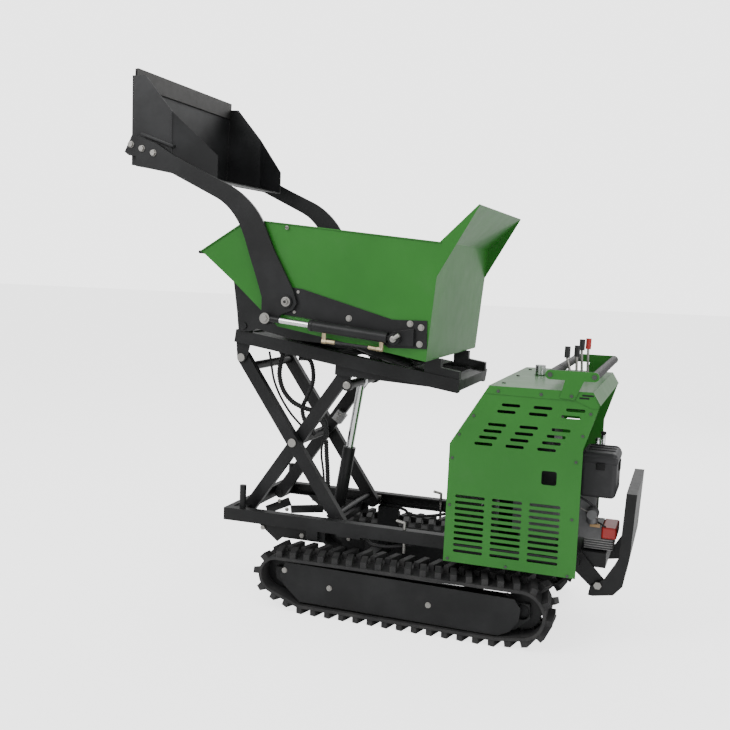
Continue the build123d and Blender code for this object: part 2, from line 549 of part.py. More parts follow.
# ---- tank and engine under the hood
tank = box(-900, -690, -300, -40, FLOOR_Z, 900) + bar_z(*TANK, 898, 972, 17)
save("hydraulic_tank", tank)
cap = bar_z(*TANK, 972, 1010, 21)
save("tank_cap", cap)
engine = box(-1010, -800, 30, 260, FLOOR_Z + 40, 600) + box(-960, -820, 60, 230, FLOOR_Z, FLOOR_Z + 42)
engine += box(-1040, -1008, 110, 205, 480, 590) + box(-1100, -1005, 120, 205, 440, 565)
engine += box(-1126, -1005, 66, 204, 398, 446) + box(-1165, -1066, 66, 194, 356, 400)
save("engine_block", engine)
cleaner = box(-1172, -1040, 60, 260, 565, 734)
save("air_cleaner", fillet(cleaner.edges(), 18))
fuel = box(-1000, -810, 40, 300, 600, 720)
save("fuel_tank", fillet(fuel.edges().filter_by(Axis.Z), 25))
save("muffler", bar((-960, -20, 430), (-960, -20, 640), 45) + box(-985, -935, -20, 30, 500, 560))
starter = box(-1182, -1126, 60, 210, 402, 446)
save("recoil_starter", fillet(starter.edges(), 8))
save("fuel_cap", bar_z(-900, 170, 720, 745, 26))

# ---- platform, folded up
side_plate = [(-1248, 591), (-1236, 350), (-1217, 242), (-1185, 205), (-1111, 192), (-1094, 194),
              (-1100, 227), (-1150, 262), (-1184, 320), (-1198, 350), (-1210, 591)]
PLATFORM_PIVOT = (-1128.0, 236.0)
cheek = prism(side_plate, 242, 250) - bar_y(PLATFORM_PIVOT, 241, 251, 9 + RUN_FIT)
board = [(-1248, 591), (-1236, 350), (-1228, 300), (-1222, 300), (-1230, 350), (-1242, 586),
         (-1216, 586), (-1204, 350), (-1198, 350), (-1210, 591)]
platform = prism(board, -244, 244) + cheek + mirror(cheek, about=Plane.XZ)
for y in (-120, 112):
    platform += prism([(-1243, 588), (-1233, 352), (-1202, 352), (-1213, 588)], y, y + 8)
save("platform", platform)

# ---- fasteners on the fixed structure
fixed = []
for centre in ((-118, 120), (-522, 115), (76, 166)):
    fixed += pair(hexagon(centre, 402, 407, 18))
for centre in ((238, 288), (60, 276)):
    fixed += pair(hexagon(centre, 270, 277, 18))
for centre in ((-131, 276), (-669, 276)):
    fixed += pair(hexagon(centre, 232, 238, 15))
save("frame_bolts", *fixed)
pins = bar_y(PLATFORM_PIVOT, 236, 252, 9) + hexagon(PLATFORM_PIVOT, 252, 260, 26)
save("platform_pins", pair(pins))
screws = []
for centre in ((-663, 854), (-1081, 894), (-1058, 813), (-1040, 718), (-1037, 509), (-1032, 301),
               (-808, 304), (-588, 307), (-587, 512), (-590, 690), (-612, 780)):
    screws += pair(hexagon(centre, HOOD_HALF, HOOD_HALF + 3, 10))
for x in (-750, -905):
    screws += pair(hexagon((x, 951), HOOD_HALF + sheet, HOOD_HALF + sheet + 3, 11))
screws += pair(hexagon((-1012, 953), HOOD_HALF + sheet + 5, HOOD_HALF + sheet + 8, 11))
for centre in ((-933, 1025), (-1087, 1025)):
    screws += pair(hexagon(centre, HOOD_HALF + sheet + 5, HOOD_HALF + sheet + 9, 16))
save("panel_screws", *screws)
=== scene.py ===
"""Looks of a tracked power barrow: scissor lift, tipping skip, self-loading shovel."""
import math

import bpy
import numpy as np
from mathutils import Matrix, Vector


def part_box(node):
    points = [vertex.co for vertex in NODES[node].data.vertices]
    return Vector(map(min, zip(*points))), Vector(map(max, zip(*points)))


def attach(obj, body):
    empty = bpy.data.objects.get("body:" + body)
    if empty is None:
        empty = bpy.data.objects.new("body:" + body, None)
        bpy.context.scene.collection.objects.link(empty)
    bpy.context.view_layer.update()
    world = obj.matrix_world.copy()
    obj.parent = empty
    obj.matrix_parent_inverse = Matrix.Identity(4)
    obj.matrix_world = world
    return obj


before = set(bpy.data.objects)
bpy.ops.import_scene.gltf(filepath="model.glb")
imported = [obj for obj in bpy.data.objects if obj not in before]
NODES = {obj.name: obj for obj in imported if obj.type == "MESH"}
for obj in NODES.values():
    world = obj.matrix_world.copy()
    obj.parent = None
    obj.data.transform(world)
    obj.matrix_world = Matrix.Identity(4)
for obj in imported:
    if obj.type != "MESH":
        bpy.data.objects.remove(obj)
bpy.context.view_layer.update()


# ---------------------------------------------------------------- tracks
# Two moulded rubber belts with cross lugs, dry and dusty, run on painted steel wheels in
# welded side frames. A black cover plate closes each side and is held by three plated bolts.
class Sock:
    """A node socket that can be added, multiplied and subtracted like a number."""

    def __init__(self, nodes, socket):
        self.nodes, self.socket = nodes, socket

    def _math(self, operation, *values):
        return self.nodes.node("ShaderNodeMath", "Value", values, operation=operation)

    def __add__(self, other):
        return self._math("ADD", self, other)

    def __mul__(self, other):
        return self._math("MULTIPLY", self, other)

    def __rsub__(self, other):
        return self._math("SUBTRACT", other, self)

    def step(self, low, high):
        """0 below low, 1 above high, smooth between."""
        return self.nodes.node("ShaderNodeMapRange", "Result", (self, low, high, 0.0, 1.0),
                               interpolation_type="SMOOTHSTEP", clamp=True)


class Nodes:
    """The nodes of one material or of the world."""

    def __init__(self, tree):
        self.tree = tree

    def link(self, value, socket):
        """Join a socket to this one, or set its number or colour."""
        if isinstance(value, Sock):
            self.tree.links.new(value.socket, socket)
        else:
            socket.default_value = value

    def node(self, kind, out, inputs=(), **settings):
        """A node with its settings, then its inputs by name or in order; gives one output."""
        made = self.tree.nodes.new(kind)
        for key, value in settings.items():
            setattr(made, key, value)
        for key, value in (inputs.items() if isinstance(inputs, dict) else enumerate(inputs)):
            self.link(value, made.inputs[key])
        return Sock(self, made.outputs[out])


class Mat(Nodes):
    """One procedural material: a principled shader and the nodes that feed it."""

    def __init__(self, name):
        self.material = bpy.data.materials.new(name)
        self.material.use_nodes = True
        super().__init__(self.material.node_tree)
        self.shader = self.tree.nodes["Principled BSDF"]
        self.point = self.node("ShaderNodeTexCoord", "Object")

    def noise(self, scale, detail=4.0, rough=0.55, stretch=None):
        point = self.point
        if stretch:
            point = self.node("ShaderNodeMapping", "Vector", {"Vector": point, "Scale": stretch})
        return self.node("ShaderNodeTexNoise", "Fac",
                         {"Vector": point, "Scale": scale, "Detail": detail, "Roughness": rough})

    def edge_wear(self, radius):
        """1 near sharp edges: how far a rounded normal leans from the true one."""
        bevel = self.node("ShaderNodeBevel", "Normal", {"Radius": radius}, samples=6)
        true_normal = self.node("ShaderNodeNewGeometry", "Normal")
        alike = self.node("ShaderNodeVectorMath", "Value", (bevel, true_normal), operation="DOT_PRODUCT")
        return (1.0 - alike).step(0.02, 0.25)

    def mix(self, factor, a, b):
        """Colour a where the factor is 0 and colour b where it is 1."""
        a, b = (c if isinstance(c, Sock) else (*c, 1.0) for c in (a, b))
        return self.node("ShaderNodeMix", 2, {0: factor, 6: a, 7: b}, data_type="RGBA")

    def finish(self, base, rough, metallic=0.0, coat=0.0, coat_rough=0.1, bump=None,
               bump_distance=0.0005, bump_strength=0.5, round_edges=0.0015, specular=0.5):
        """Feed the shader; edges look rounded, and the bump sits on top of that."""
        base = base if isinstance(base, Sock) else (*base, 1.0)
        for socket, value in {"Base Color": base, "Roughness": rough, "Metallic": metallic, "Coat Weight": coat,
                              "Coat Roughness": coat_rough, "Specular IOR Level": specular}.items():
            self.link(value, self.shader.inputs[socket])
        feed = {}
        if round_edges:
            feed["Normal"] = self.node("ShaderNodeBevel", "Normal", {"Radius": round_edges}, samples=4)
        if bump is not None:
            feed |= {"Height": bump, "Distance": bump_distance, "Strength": bump_strength}
            feed = {"Normal": self.node("ShaderNodeBump", "Normal", feed)}
        if feed:
            self.link(feed["Normal"], self.shader.inputs["Normal"])
        return self.material


def rubber():
    """Moulded rubber: dark grey, dry, with mould grain and pale dust caught in it."""
    m = Mat("track rubber")
    base = m.mix(m.noise(12.0, 8, 0.7).step(0.35, 0.8), (0.016, 0.016, 0.017), (0.042, 0.041, 0.040))
    dust = m.noise(40.0, 10, 0.75).step(0.55, 0.85) * 0.35
    base = m.mix(dust, base, (0.11, 0.105, 0.095))
    grain = m.noise(260.0, 6, 0.7) + m.noise(45.0, 4) * 0.8
    rough = m.noise(30.0, 5) * 0.2 + 0.62
    return m.finish(base, rough, bump=grain, bump_distance=0.0012, bump_strength=0.5, round_edges=0.003)


def black_paint(name="black paint", level=0.0085, rough=0.32):
    """Powder-coated steel: near-black with dust films and rubbed edges."""
    m = Mat(name)
    tint = (level, level * 1.02, level * 1.08)
    base = m.mix(m.noise(5.0, 5).step(0.35, 0.75), tint, tuple(2.2 * c for c in tint))
    dust = m.noise(18.0, 9, 0.7).step(0.50, 0.85) * 0.16
    base = m.mix(dust, base, (0.042, 0.040, 0.037))
    wear = m.edge_wear(0.0025) * m.noise(48.0, 5).step(0.52, 0.66) * 0.55
    base = m.mix(wear, base, (0.17, 0.165, 0.155))
    roughness = m.noise(25.0, 6, 0.6) * 0.22 + rough
    return m.finish(base, roughness, coat=0.06, coat_rough=0.25, bump=m.noise(520.0, 2),
                    bump_distance=0.00025, bump_strength=0.45, specular=0.3)


def metal(name, tint, rough=0.3, grain=(1.0, 1.0, 1.0), spots=0.25, dull=(0.12, 0.11, 0.10)):
    """Bare or plated metal with brushing along one axis and dull spots."""
    m = Mat(name)
    brush = m.noise(180.0, 3, 0.5, grain)
    base = m.mix(m.noise(22.0, 8, 0.7).step(0.48, 0.85) * spots, tint, dull)
    base = m.mix(brush.step(0.3, 0.7) * 0.10, base, tuple(min(1.0, 1.25 * c) for c in tint))
    roughness = brush * 0.14 + m.noise(30.0, 6) * 0.14 + rough
    return m.finish(base, roughness, metallic=1.0, bump=brush, bump_distance=0.0002, bump_strength=0.25,
                    round_edges=0.001)


def paint(material, *names):
    """Give whole CAD nodes one material."""
    for name in names:
        NODES[name].data.materials.clear()
        NODES[name].data.materials.append(material)


def at(x, y, z, shift=0.212):
    """A point given from the first ground lug, in millimetres, as metres in the frame, whose middle
    lies that shift behind the lug."""
    return (x / 1000 + shift, y / 1000, z / 1000)


def new_mesh(name, points, faces, smooth, material, body):
    """A piece from its points and faces, riding on a body of the machine if one is given."""
    mesh = bpy.data.meshes.new(name)
    mesh.from_pydata(np.asarray(points, float).tolist(), [], faces)
    mesh.polygons.foreach_set("use_smooth", smooth)
    mesh.update()
    mesh.materials.append(material)
    obj = bpy.data.objects.new(name, mesh)
    bpy.context.scene.collection.objects.link(obj)
    if body:
        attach(obj, body)
    return obj


def skin(name, rings, material, body, smooth_sides, smooth_caps):
    """A closed piece from rings of points: quads from each ring to the next, and a cap at each end."""
    rows, cols = rings.shape[:2]
    ring = np.arange(cols)
    pair = np.stack([ring, np.roll(ring, -1)], axis=1)
    quads = np.hstack([pair, pair[:, ::-1] + cols])
    sides = (np.arange(rows - 1)[:, None, None] * cols + quads).reshape(-1, 4).tolist()
    caps = [ring[::-1].tolist(), (ring + (rows - 1) * cols).tolist()]
    smooth = [smooth_sides] * len(sides) + [smooth_caps] * 2
    return new_mesh(name, rings.reshape(-1, 3), sides + caps, smooth, material, body)


def lathe(name, profile, origin, axis, material, body, sides=28, smooth=True):
    """A turned piece: each (radius, distance) of the profile is a circle of that radius round the
    axis, at that distance along it from the origin."""
    axis = Vector(axis).normalized()
    across = axis.orthogonal().normalized()
    angle = 2 * math.pi * np.arange(sides) / sides
    spokes = np.outer(np.cos(angle), across) + np.outer(np.sin(angle), axis.cross(across))
    radius, distance = np.array(profile, float).T[:, :, None, None]
    rings = np.array(origin) + distance * np.array(axis) + radius * spokes
    return skin(name, rings, material, body, smooth, False)


def disc(name, place, side, radius, thick, material, body, dome=0.0):
    """A washer or bolt head lying against a side wall and facing outwards: a short cylinder with a
    chamfer, and a dome on it if one is given."""
    profile = [(radius, 0.0), (radius, thick * 0.7), (radius * 0.93, thick)]
    if dome:
        profile += [(radius * 0.6, thick + dome * 0.7), (radius * 0.2, thick + dome)]
    return lathe(name, profile, place, (0, side, 0), material, body)


RUBBER = rubber()
BLACK = black_paint()
ZINC = metal("zinc fasteners", (0.40, 0.39, 0.37), 0.28, spots=0.35)
COVER_FACE = 402
COVER_BOLTS = ((-118, 120), (-522, 115), (76, 166))

paint(RUBBER, "track_belt_left", "track_belt_right")
paint(BLACK, "track_frames", "track_covers", "drive_motors",
      *(name for name in NODES if name.startswith(("roller_", "idler_", "sprocket_"))))
for side in (1, -1):
    for x, z in COVER_BOLTS:
        disc(f"cover_washer_{side}_{x}", at(x, side * COVER_FACE, z), side, 0.0115, 0.0015, ZINC, "chassis")


# ---------------------------------------------------------------- lower frame
# Welded and painted steel rails with plated bolts and a drop-in pin on each side. Two bent
# plates carry the hoses between the rails at the front, and a hose lies under each rail.
def boxed(name, points, material, body, bevel, segments=3):
    """A box from its eight corners, with rounded edges."""
    faces = [(0, 1, 3, 2), (4, 6, 7, 5), (0, 4, 5, 1), (2, 3, 7, 6), (0, 2, 6, 4), (1, 5, 7, 3)]
    obj = new_mesh(name, points, faces, [bool(bevel)] * 6, material, body)
    if bevel:
        modifier = obj.modifiers.new("round", "BEVEL")
        modifier.width = bevel
        modifier.segments = segments
    return obj


# the corners of a box of size 1, z counting fastest
CORNERS = np.array([(x, y, z) for x in (0, 1) for y in (0, 1) for z in (0, 1)])


def turned_block(name, centre, size, lean, material, body, bevel=0.0015):
    """A box round its centre, turned about the axis across the machine by a lean in degrees."""
    turn = np.array(Matrix.Rotation(math.radians(lean), 3, "Y"))
    points = np.array(centre) + (CORNERS - 0.5) * size @ turn.T
    return boxed(name, points, material, body, bevel)


def smooth_path(places, samples):
    """Catmull-Rom curve: each span is the cubic that passes through two places, and whose slope at
    a place is half the step between its neighbours."""
    path = np.array(places, float)
    padded = np.vstack([2 * path[0] - path[1], path, 2 * path[-1] - path[-2]])
    s = np.linspace(0, len(path) - 1, samples)
    span = np.minimum(s.astype(int), len(path) - 2)
    t = (s - span)[:, None]
    p0, p1, p2, p3 = (padded[span + k] for k in range(4))
    return 0.5 * (2 * p1 + (p2 - p0) * t + (2 * p0 - 5 * p1 + 4 * p2 - p3) * t ** 2
                  + (3 * p1 - p0 - 3 * p2 + p3) * t ** 3)


def tube(name, path, radius, material, body, sides=14):
    """A circle carried along a path without twisting. The radius is one number, or an array with a
    row for each place on the path and a column for each point of the circle, or one for all."""
    path = np.array(path, float)
    tangent = np.gradient(path, axis=0)
    tangent /= np.linalg.norm(tangent, axis=1)[:, None]
    angle = np.linspace(0, 2 * math.pi, sides, endpoint=False)
    across = np.cross(tangent[0], (0.3, 0.5, 0.81))
    spokes = []
    for t in tangent:
        across = across - t * across.dot(t)
        across /= np.linalg.norm(across)
        spokes.append(np.outer(np.cos(angle), across) + np.outer(np.sin(angle), np.cross(t, across)))
    reach = np.broadcast_to(radius, (len(path), sides))[:, :, None]
    return skin(name, path[:, None] + reach * np.array(spokes), material, body, True, True)


def plastic(name, tint, rough=0.42, coat=0.0):
    """Moulded plastic with a fine texture and a thin film of dust."""
    m = Mat(name)
    film = m.noise(16.0, 8, 0.7).step(0.50, 0.85) * 0.22
    base = m.mix(film, tint, tuple(min(1.0, c * 0.8 + 0.07) for c in tint))
    texture = m.node("ShaderNodeTexVoronoi", "Distance", {"Vector": m.point, "Scale": 700.0}, feature="F1")
    return m.finish(base, m.noise(24.0, 6) * 0.18 + rough, coat=coat, bump=texture, bump_distance=0.0002,
                    bump_strength=0.3, round_edges=0.002)


HOSE = plastic("hose rubber", (0.014, 0.014, 0.015), 0.50)
HOSE_SIDES = 12


def hose(name, places, radius, body, samples=90, guard=None):
    """A hydraulic hose through the places. A spiral guard of (pitch, height) swells the radius by
    its height times the root of the positive half of a sine, which turns once in each pitch."""
    path = smooth_path([at(*place) for place in places], samples)
    reach = radius
    if guard:
        pitch, height = guard
        run = np.append(0, np.cumsum(np.linalg.norm(np.diff(path, axis=0), axis=1)))
        turn = 2 * math.pi * (run[:, None] / pitch + np.arange(HOSE_SIDES) / HOSE_SIDES)
        reach = radius + height * np.sqrt(np.maximum(0.0, np.sin(turn)))
    return tube(name, path, reach, HOSE, body, HOSE_SIDES)


CARRIER_Y = 108
CARRIER_BOLTS = ((238, 365), (202, 332))
RAIL_HOSE_Y = 262
RAIL_HOSE = ((-150, 302), (-213, 294), (-239, 277), (-295, 274), (-357, 284), (-420, 300))

paint(BLACK, "lower_frame")
paint(ZINC, "frame_bolts", "lock_pin_left", "lock_pin_right")
turned_block("hose_carrier_low", at(111, CARRIER_Y, 344), (0.150, 0.006, 0.034), 8, BLACK, "chassis")
turned_block("hose_carrier_high", at(245, CARRIER_Y, 343), (0.120, 0.006, 0.036), 25, BLACK, "chassis")
for x, z in CARRIER_BOLTS:
    disc(f"carrier_bolt_{x}", at(x, CARRIER_Y + 3, z), 1, 0.0085, 0.006, ZINC, "chassis", 0.002)
for side in (1, -1):
    hose(f"rail_hose_{side}", [(x, side * RAIL_HOSE_Y, z) for x, z in RAIL_HOSE], 0.0065, "chassis", 60)


# ---------------------------------------------------------------- scissor lift
# Two pairs of painted flat-bar arms cross on a plated pin and run on steel blocks. One cylinder
# with a chromed rod lifts them. Its hoses have spiral guards and hang beside the arms.
def split_paint(name, second, chosen):
    """Give the faces that chosen(centre, normal) picks a second material."""
    node = NODES[name]
    node.data.materials.append(second)
    for polygon in node.data.polygons:
        if chosen(polygon.center, polygon.normal):
            polygon.material_index = len(node.data.materials) - 1


def near(centre, place, radius):
    """Whether a face lies within a radius, in metres, of a place in the side view."""
    x, z = place
    return (centre - Vector(at(x, 0, z))).xz.length < radius


def cast(name, tint, rough=0.5):
    """Sand-cast alloy: grainy, with darker oil-stained patches."""
    m = Mat(name)
    stain = m.noise(14.0, 8, 0.7).step(0.45, 0.8)
    base = m.mix(stain * 0.6, tint, tuple(0.35 * c for c in tint))
    return m.finish(base, m.noise(20.0, 5) * 0.2 + rough, metallic=0.85, bump=m.noise(380.0, 5, 0.7),
                    bump_distance=0.0006, bump_strength=0.5)


CHROME = metal("chrome rod", (0.78, 0.79, 0.80), 0.08, (1.0, 1.0, 0.1), 0.06, (0.4, 0.4, 0.4))
FINS = cast("cooling fins", (0.36, 0.36, 0.36), 0.42)
CROSSING = (137, 648)
CROSSING_FACE = 0.2226          # metres out to the washers on the crossing pin
GUARD = (0.011, 0.0022)
LIFT_TOP = (-80, 900)
VALVE = at(66, -135, 716)
VALVE_SIZE = (0.046, 0.029, 0.052)

paint(BLACK, "scissor_inner", "scissor_outer", "lift_barrel")
paint(CHROME, "lift_rod")
paint(ZINC, "slide_blocks_lower", "slide_blocks_upper")
split_paint("scissor_inner", ZINC, lambda c, n: abs(c.y) > CROSSING_FACE and near(c, CROSSING, 0.0182))
for side in (1, -1):
    disc(f"lift_top_{side}", at(LIFT_TOP[0], side * 180, LIFT_TOP[1]), side, 0.017, 0.003, ZINC, "inner_arms",
         0.002)
hose("lift_hose_front", [(248, 90, 1007), (261, 90, 952), (263, 90, 903), (243, 90, 845), (201, 86, 799),
                         (147, 76, 774), (94, 66, 759), (61, 56, 718), (52, 56, 650)],
     0.0095, "outer_arms", 320, GUARD)
hose("lift_hose_rear", [(187, 60, 985), (140, 60, 982), (121, 60, 940), (121, 60, 881), (145, 60, 820),
                        (165, 60, 769), (150, 62, 715), (100, 66, 660)], 0.0085, "outer_arms", 300, GUARD)
hose("lift_hose_thin", [(300, 120, 1012), (287, 120, 943), (273, 120, 885), (241, 120, 819), (196, 116, 754),
                        (150, 100, 700)], 0.0050, "outer_arms", 90)
hose("feed_hose", [(52, 56, 640), (49, 56, 592), (41, 58, 514), (34, 60, 427), (24, 60, 363), (10, 50, 300)],
     0.0090, "lift_barrel", 260, GUARD)
hose("feed_hose_thin", [(66, 60, 640), (70, 62, 580), (58, 62, 500), (50, 62, 420), (44, 62, 345)],
     0.0050, "lift_barrel", 80)
turned_block("lock_valve", VALVE, VALVE_SIZE, -35, FINS, "inner_arms")
for k, (dx, dz) in enumerate(((-0.008, 0.010), (0.008, -0.008), (0.004, 0.013))):
    place = (VALVE[0] + dx, VALVE[1] + VALVE_SIZE[1] / 2, VALVE[2] + dz)
    lathe(f"lock_plug_{k}", [(0.0055, 0), (0.0055, 0.003), (0.003, 0.003)], place, (0, 1, 0), ZINC,
          "inner_arms", 12)

# ---------------------------------------------------------------- upper frame
# A painted frame of rails and deck plates that the scissor carries, with pads for the skip to
# rest on, plated pin heads at the arm pivots, and the cylinder that tips the skip.
FRAME_PIVOT = (375, 990.2)
FRAME_PIN_FACE = 0.2325         # metres out to the heads of the pivot pins

paint(BLACK, "upper_frame", "rest_pads", "tip_barrel")
paint(CHROME, "tip_rod")
split_paint("upper_frame", ZINC, lambda c, n: abs(c.y) > FRAME_PIN_FACE and near(c, FRAME_PIVOT, 0.0172))


# ---------------------------------------------------------------- skip
# Folded and welded sheet in glossy green powder coat, with two black ribs and the tip lugs
# under its floor. Black plates bolted to its sides carry the loader's pivots and pins.
def green_paint():
    """Glossy powder coat: even green, slight orange peel, a little dust and rubbed edges."""
    m = Mat("green paint")
    base = m.mix(m.noise(3.0, 3).step(0.3, 0.7), (0.021, 0.158, 0.017), (0.026, 0.180, 0.021))
    dust = m.noise(9.0, 8, 0.65).step(0.52, 0.80) * 0.07
    base = m.mix(dust, base, (0.14, 0.22, 0.12))
    scratch = m.noise(60.0, 3, 0.5, (1.0, 1.0, 14.0)).step(0.70, 0.78) * 0.12
    base = m.mix(scratch, base, (0.10, 0.28, 0.09))
    wear = m.edge_wear(0.002) * m.noise(35.0, 5).step(0.50, 0.62) * 0.35
    base = m.mix(wear, base, (0.12, 0.26, 0.09))
    return m.finish(base, m.noise(14.0, 6, 0.6) * 0.16 + 0.27, coat=0.2, coat_rough=0.12,
                    bump=m.noise(420.0, 2), bump_distance=0.0002, bump_strength=0.35, specular=0.3)


# the floor from its rear edge over the two folds to the nose
FLOOR_LINE = [at(x, 0, z) for x, z in ((-475, 1040), (132, 1141), (195, 1193), (452, 1408))]


def on_skip_floor(centre):
    """Whether a face lies on or above the skip's floor, which is straight between its folds."""
    for a, b in zip(FLOOR_LINE, FLOOR_LINE[1:]):
        if centre.x <= b[0] or b is FLOOR_LINE[-1]:
            height = a[2] + (centre.x - a[0]) * (b[2] - a[2]) / (b[0] - a[0])
            return centre.z >= height - 0.0015


def pivot_bolt(name, place, y, side, radius, body):
    """Washer, hexagon nut and thread end on a pivot."""
    x, z = place
    face = at(x, side * y, z)
    disc(f"{name}_washer", face, side, radius, 0.0025, ZINC, body)
    lathe(f"{name}_nut", [(radius * 0.62, 0.0025), (radius * 0.62, 0.009), (radius * 0.52, 0.0105)],
          face, (0, side, 0), ZINC, body, 6, False)
    disc(f"{name}_thread", at(x, side * (y + 9), z), side, radius * 0.3, 0.004, WORN, body)


GREEN = green_paint()
WORN = metal("cutting steel", (0.07, 0.069, 0.068), 0.40, spots=0.6, dull=(0.025, 0.023, 0.021))
RIB = (0.2515, 0.2625)          # metres out to the faces of the two ribs
RIB_TOP = 1.375
TIP_LUG = 0.03                  # metres out to the far faces of the tip lugs
LOADER_PIVOT = (86, 1239)
RIM_BOLT = (99, 1523)
BRACKET_BOLTS = ((-454, 1166), (-450, 1104), (-411, 1178), (-168, 1186))
CYLINDER_FOOT = (-362, 1121)
KEEPER_STEPS = 9                # the keeper runs up and back from the pin in this many steps
LIP_HALF = 408

paint(GREEN, "skip")
paint(BLACK, "loader_brackets")
paint(ZINC, "bracket_bolts")
split_paint("skip", BLACK, lambda c, n: (RIB[0] < abs(c.y) < RIB[1] and c.z < RIB_TOP and n.z < 0.98
                                         and not on_skip_floor(c)))
split_paint("skip", BLACK, lambda c, n: abs(c.y) < TIP_LUG and not on_skip_floor(c))
for side in (1, -1):
    pivot_bolt(f"loader_pivot_{side}", LOADER_PIVOT, 437, side, 0.019, "skip")
    pivot_bolt(f"rim_bolt_{side}", RIM_BOLT, 413, side, 0.008, "skip")
    for x, z in BRACKET_BOLTS:
        disc(f"bracket_washer_{side}_{x}", at(x, side * 414, z), side, 0.0125, 0.0022, ZINC, "skip")
    x, z = CYLINDER_FOOT
    tube(f"pin_keeper_{side}", [at(x - 3 * k, side * 464.5, z + 2.2 * k) for k in range(KEEPER_STEPS)], 0.0085,
         ZINC, "skip")
    disc(f"keeper_head_{side}", at(x, side * 462, z), side, 0.0125, 0.004, ZINC, "skip", 0.002)
tube("skip_lip_guard", [at(481, y, 1421) for y in np.linspace(-LIP_HALF, LIP_HALF, 24)], 0.0065, HOSE, "skip", 10)


# ---------------------------------------------------------------- loader
# Two cut plate arms carry a welded shovel with a bare steel edge, bolted on with three plated
# bolts a side. Two cylinders swing it, and their oil comes through brass elbows and a hose.
def hex_nut(name, start, end, radius, body):
    """A brass hexagon from start to end, with a small chamfer at both."""
    axis = Vector(end) - Vector(start)
    lathe(name, [(radius * 0.85, 0), (radius, 0.001), (radius, axis.length - 0.001), (radius * 0.85, axis.length)],
          start, axis, BRASS, body, 6, False)


SHOVEL = black_paint("shovel paint", 0.013, 0.28)
BRASS = metal("brass fitting", (0.50, 0.41, 0.26), 0.28, spots=0.45, dull=(0.16, 0.12, 0.07))
ARM_BOLTS = ((793, 1845), (742, 1828), (688, 1810))
ROD_EYE = at(165, 443, 1172)[0] - 0.061     # the eye and its neck lie ahead of this
ROD_EYE_FACE = 0.4555                       # metres out to the washer and nut on the eye
CYLINDER_Y = 443
BEADS = np.arange(110)
BEAD_WIDTH = 0.0026 + 0.0012 * np.abs(np.sin(BEADS * 1.1))

paint(BLACK, "loader_arms", "loader_barrels")
paint(SHOVEL, "shovel")
paint(WORN, "cutting_edge")
paint(ZINC, "loader_bolts")
paint(CHROME, "loader_rods")
split_paint("loader_rods", BLACK, lambda c, n: c.x > ROD_EYE and abs(c.y) < ROD_EYE_FACE)
split_paint("loader_rods", ZINC, lambda c, n: c.x > ROD_EYE and abs(c.y) >= ROD_EYE_FACE)
for side in (1, -1):
    for x, z in ARM_BOLTS:
        disc(f"arm_washer_{side}_{x}", at(x, side * 429, z), side, 0.0135, 0.0020, ZINC, "loader")
    turned_block(f"arm_angle_{side}", at(674, side * 417, 1862), (0.158, 0.024, 0.010), -18.6, SHOVEL, "loader",
                 0.001)
    tube(f"wall_weld_{side}", [at(620, side * 404.3, z) for z in np.linspace(1745, 1972, len(BEADS))],
         BEAD_WIDTH[:, None], SHOVEL, "loader", 8)
    y = side * CYLINDER_Y
    for name, start, end, radius in (("port_front", (-80, 1128), (-80, 1104), 0.0085),
                                     ("elbow_front", (-72, 1097), (-92, 1096), 0.0095),
                                     ("nut_front", (-92, 1096), (-126, 1094), 0.0080),
                                     ("nut_rear", (-260, 1084), (-292, 1080), 0.0078),
                                     ("elbow_rear", (-292, 1080), (-318, 1079), 0.0092),
                                     ("port_rear", (-311, 1072), (-311, 1108), 0.0085)):
        hex_nut(f"loader_{name}_{side}", at(start[0], y, start[1]), at(end[0], y, end[1]), radius,
                "loader_barrels")
    hose(f"loader_hose_{side}", [(-124, y, 1094), (-170, y, 1091), (-220, y, 1087), (-262, y, 1084)],
         0.0050, "loader_barrels", 30)
    lathe(f"loader_gland_{side}", [(0.0215, 0.0), (0.0222, 0.002), (0.0222, 0.014), (0.018, 0.018)],
          at(-36, y, 1152.5), (527, 0, 51), BLACK, "loader_barrels")

# ---------------------------------------------------------------- hood
# Folded green panels with punched vents, held by dark screws, over the engine and the black
# oil tank, whose bright breather cap stands through the top.
SCREW = metal("blackened screws", (0.10, 0.11, 0.10), 0.35, spots=0.4, dull=(0.03, 0.03, 0.03))
# Near-black paint: on the flange slots it is painted shade where the slots stand open; the cleaner latches are
# painted with it too.
DARK = black_paint("slot shadow", 0.004, 0.6)
TOP_SCREW_Y = (290, 0, -290)
FLANGE_SLOTS = ((-1068, 958, 0.040), (-1056, 948, 0.034))       # place and length

paint(GREEN, "hood_side_left", "hood_side_right", "hood_front", "hood_top")
paint(SCREW, "panel_screws")
paint(BLACK, "hydraulic_tank")
paint(CHROME, "tank_cap")
for k, y in enumerate(TOP_SCREW_Y):
    lathe(f"hood_screw_{k}", [(0.0075, 0), (0.0075, 0.002), (0.004, 0.004)], at(-748, y, 969), (0, 0, 1), SCREW,
          "chassis", 16)
# Each flange slot is a thin near-black plate on the flange: painted shade in place of the slot's opening.
for side in (1, -1):
    for k, (x, z, length) in enumerate(FLANGE_SLOTS):
        turned_block(f"flange_slot_{side}_{k}", at(x, side * 400.2, z), (length, 0.001, 0.006), 0, DARK, "chassis",
                     0.0)


# ---------------------------------------------------------------- controls
# A cast valve block with four plated levers. Three have black plastic grips and the last a red
# one. They stand between two steel bars in ribbed black sleeves, on green end plates.
def grip_foam():
    """Black sleeve with fine rings round it."""
    m = Mat("grab bar foam")
    rings = m.node("ShaderNodeTexWave", "Fac", {"Vector": m.point, "Scale": 55.0}, bands_direction="Y")
    base = m.mix(rings.step(0.3, 0.7) * 0.5, (0.016, 0.016, 0.017), (0.05, 0.05, 0.05))
    return m.finish(base, m.noise(30.0, 5) * 0.2 + 0.45, bump=rings, bump_distance=0.0015, bump_strength=0.6)


